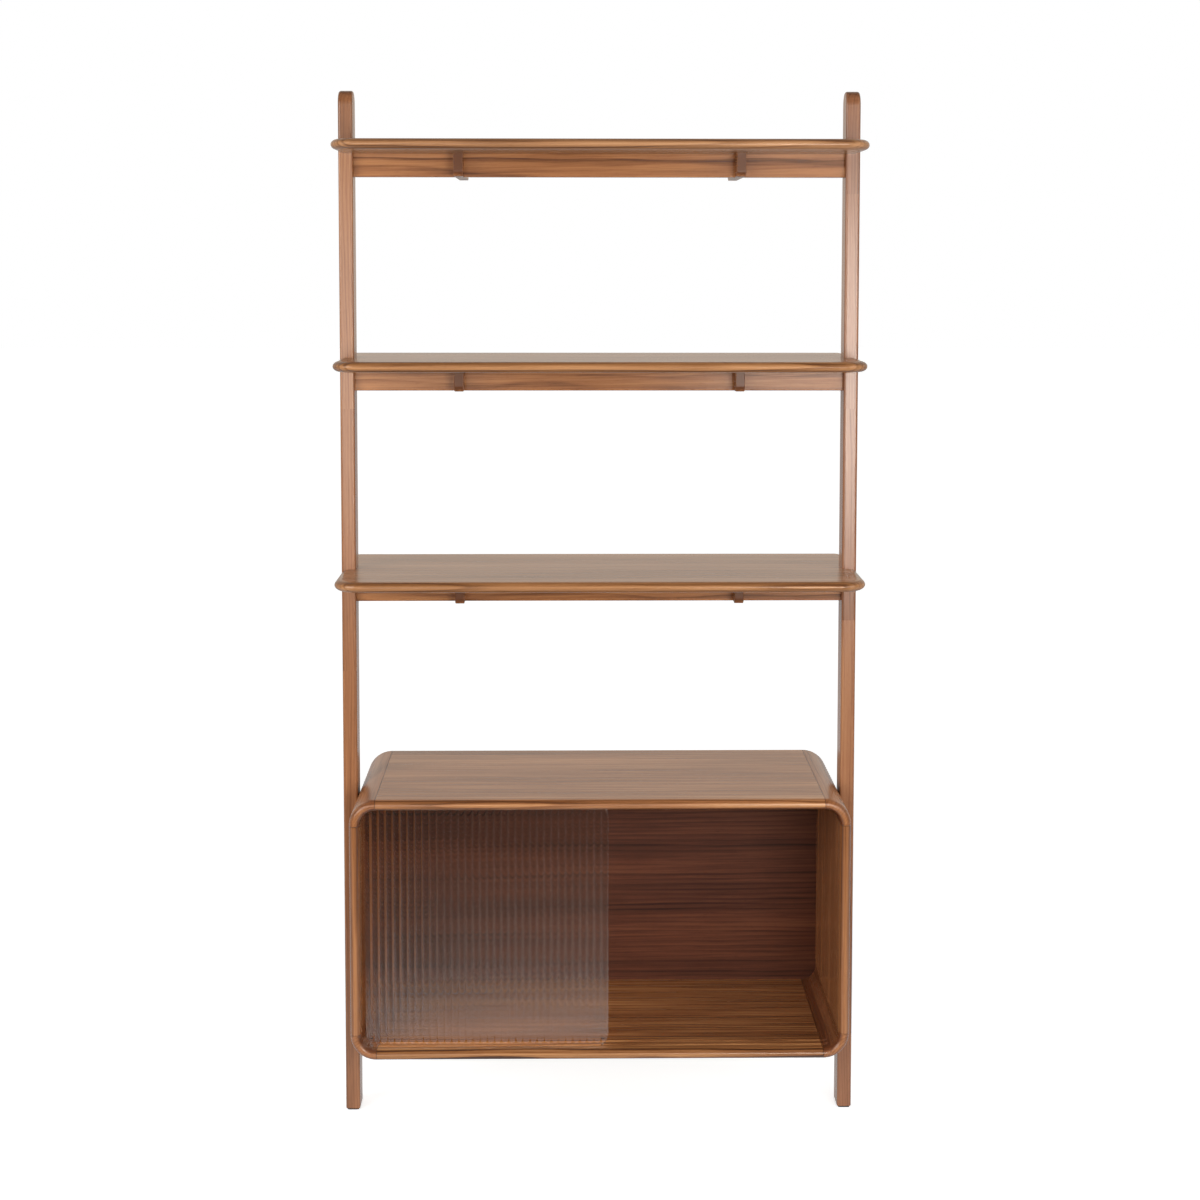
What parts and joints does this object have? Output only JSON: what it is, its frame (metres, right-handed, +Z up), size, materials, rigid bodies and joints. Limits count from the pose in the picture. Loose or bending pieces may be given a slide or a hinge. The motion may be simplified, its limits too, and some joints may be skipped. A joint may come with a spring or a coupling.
{
  "type": "bookcase with sliding doors",
  "caption": "Bookcase with flat round-topped posts, bullnosed open shelves on cross bearers, and a round-cornered low cabinet closed by sliding reeded glass doors.",
  "frame": {"origin": "on the floor, midway between the posts and midway between the cabinet's front and back", "axes": "+X to the right as seen from the front, +Y to the wall, +Z up"},
  "size_m": [0.9, 0.36, 1.7999],
  "materials": {
    "post_wood": "satin varnished walnut-stained wood, grain along the post",
    "shelf_wood": "satin varnished walnut-stained wood, grain along the shelf",
    "rail_wood": "satin varnished walnut-stained wood, grain along the rail",
    "bearer_wood": "satin varnished walnut-stained wood, grain front to back",
    "cabinet_wood": "satin varnished walnut-stained wood, grain from side to side",
    "cabinet_side_wood": "satin varnished walnut-stained wood, upright grain",
    "moulding_wood": "satin varnished walnut-stained wood, grain front to back",
    "back_wood": "satin dark walnut veneer",
    "plug_wood": "satin varnished walnut-stained wood",
    "dowel_wood": "raw beech",
    "reeded_glass": "clear bronze-tinted glass with upright reeds",
    "felt": "dark felt",
    "zinc_steel": "zinc plated",
    "bracket_steel": "zinc plated sheet"
  },
  "bodies": {
    "frame": {"back_panel": "back_wood", "back_panel_screws": "zinc_steel", "barrel_nuts": "zinc_steel", "bearer_lower_left": "bearer_wood", "bearer_lower_right": "bearer_wood", "bearer_middle_left": "bearer_wood", "bearer_middle_right": "bearer_wood", "bearer_upper_left": "bearer_wood", "bearer_upper_right": "bearer_wood", "bolt_plugs": "plug_wood", "bracket_screws": "zinc_steel", "cabinet_bolts": "zinc_steel", "cabinet_bottom": "cabinet_wood", "cabinet_side_left": "cabinet_side_wood", "cabinet_side_right": "cabinet_side_wood", "cabinet_top": "cabinet_wood", "corner_moulding_bottom_left": "moulding_wood", "corner_moulding_bottom_right": "moulding_wood", "corner_moulding_top_left": "moulding_wood", "corner_moulding_top_right": "moulding_wood", "foot_pad_left": "felt", "foot_pad_right": "felt", "post_left": "post_wood", "post_right": "post_wood", "rail_bolts": "zinc_steel", "rail_dowels": "dowel_wood", "rail_lower": "rail_wood", "rail_middle": "rail_wood", "rail_upper": "rail_wood", "seam_dowels": "dowel_wood", "shelf_lower": "shelf_wood", "shelf_middle": "shelf_wood", "shelf_screws": "zinc_steel", "shelf_upper": "shelf_wood", "threaded_inserts": "zinc_steel", "wall_bracket_left": "bracket_steel", "wall_bracket_right": "bracket_steel"},
    "front_door": {"door_front": "reeded_glass"},
    "rear_door": {"door_rear": "reeded_glass"}
  },
  "joints": [
    {"name": "front_door_slide", "type": "slide", "parent": "frame", "child": "front_door", "axis": [1, 0, 0], "range_m": [0, 0.386]},
    {"name": "rear_door_slide", "type": "slide", "parent": "frame", "child": "rear_door", "axis": [1, 0, 0], "range_m": [0, 0.386]}
  ]
}
